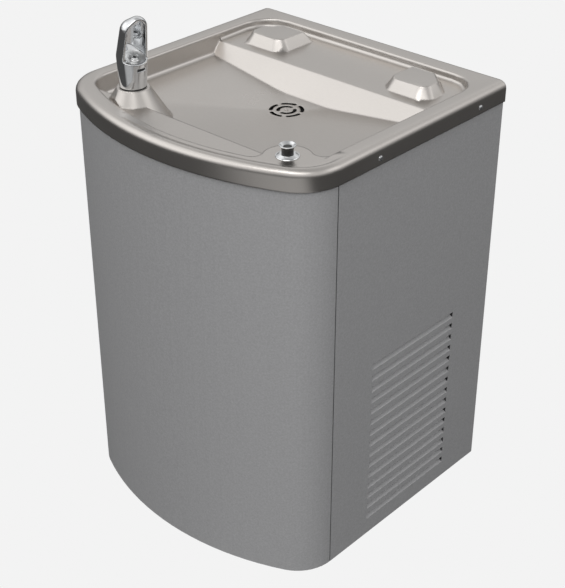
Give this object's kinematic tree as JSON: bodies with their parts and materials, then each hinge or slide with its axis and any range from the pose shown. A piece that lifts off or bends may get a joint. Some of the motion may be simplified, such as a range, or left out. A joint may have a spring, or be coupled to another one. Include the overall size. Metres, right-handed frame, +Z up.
{
  "type": "wall-mounted drinking fountain",
  "caption": "Wall-mounted chilled drinking fountain: stainless basin with bowed front, chrome bubbler and push button on a grey louvred cabinet.",
  "frame": {"origin": "middle of the wall hanger's four bolt holes, in the plane of the wall", "axes": "+X to the right of someone who faces the fountain, +Y into the wall, +Z up; the front looks to -Y"},
  "size_m": [0.4614, 0.455, 0.7442],
  "materials": {
    "stainless": "satin brushed stainless sheet",
    "chrome": "polished chrome plate",
    "plated_tube": "chrome-plated brass tube",
    "button_black": "moulded black plastic",
    "black_rubber": "moulded black rubber",
    "brass": "machined brass",
    "bright_steel": "bright zinc-plated steel",
    "panel_grey": "fine-textured grey finish on sheet steel",
    "galvanised": "galvanised sheet steel",
    "black_enamel": "black enamel",
    "dark_plastic": "moulded dark grey plastic",
    "coil_aluminium": "bare aluminium fins and tube",
    "fan_blue": "moulded blue-grey plastic",
    "copper": "bare copper tube",
    "foam": "expanded foam",
    "water_tube": "polyethylene tube",
    "cream_plastic": "moulded cream plastic",
    "lead_black": "sheathed lead"
  },
  "bodies": {
    "cabinet": {"basin_top": "stainless", "skirt_screws": "bright_steel", "bubbler_body": "chrome", "bubbler_nozzle": "chrome", "bubbler_gasket": "black_rubber", "bubbler_locknut": "brass", "button_bezel": "chrome", "button_locknut": "brass", "valve_body": "brass", "valve_spring": "bright_steel", "drain_gasket": "black_rubber", "drain_cup": "plated_tube", "drain_screw": "stainless", "slip_nut": "plated_tube", "waste_trap": "plated_tube", "front_panel": "panel_grey", "side_panel_left": "panel_grey", "side_panel_right": "panel_grey", "base_pan": "galvanised", "back_frame": "galvanised", "top_frame": "galvanised", "wall_hanger": "galvanised", "panel_screws": "bright_steel", "compressor": "black_enamel", "compressor_grommets": "black_rubber", "compressor_bolts": "bright_steel", "terminal_cover": "dark_plastic", "condenser": "coil_aluminium", "fan_shroud": "galvanised", "fan_bracket": "galvanised", "fan_motor": "black_enamel", "filter_drier": "copper", "discharge_line": "copper", "capillary_tube": "copper", "suction_line": "copper", "cooling_tank": "stainless", "evaporator_coil": "copper", "tank_insulation_front": "foam", "tank_insulation_back": "foam", "tank_shelf": "galvanised", "supply_tube": "water_tube", "chilled_tube": "water_tube", "bubbler_tube": "water_tube", "inlet_strainer": "brass", "strainer_bracket": "galvanised", "thermostat": "cream_plastic", "junction_box": "galvanised", "junction_cover": "galvanised", "cord_bush": "black_rubber", "wiring_leads": "lead_black"},
    "button": {"button_cap": "chrome", "button_neck": "button_black", "valve_plunger": "bright_steel"},
    "fan": {"fan_blades": "fan_blue", "fan_shaft": "bright_steel"},
    "thermostat_stem": {"thermostat_stem": "brass"}
  },
  "joints": [
    {"name": "button_press", "type": "slide", "parent": "cabinet", "child": "button", "axis": [0, 0, -1], "range_m": [0, 0.0035], "stiffness_N_per_m": 800, "springref_m": -0.004, "deforming": ["valve_spring"]},
    {"name": "fan_spin", "type": "hinge", "parent": "cabinet", "child": "fan", "pos_m": [0.155, -0.175, -0.429], "axis": [1, 0, 0], "continuous": true},
    {"name": "thermostat_turn", "type": "hinge", "parent": "cabinet", "child": "thermostat_stem", "pos_m": [0.15, -0.04, -0.1675], "axis": [0, 1, 0], "range_deg": [-120, 120]}
  ]
}
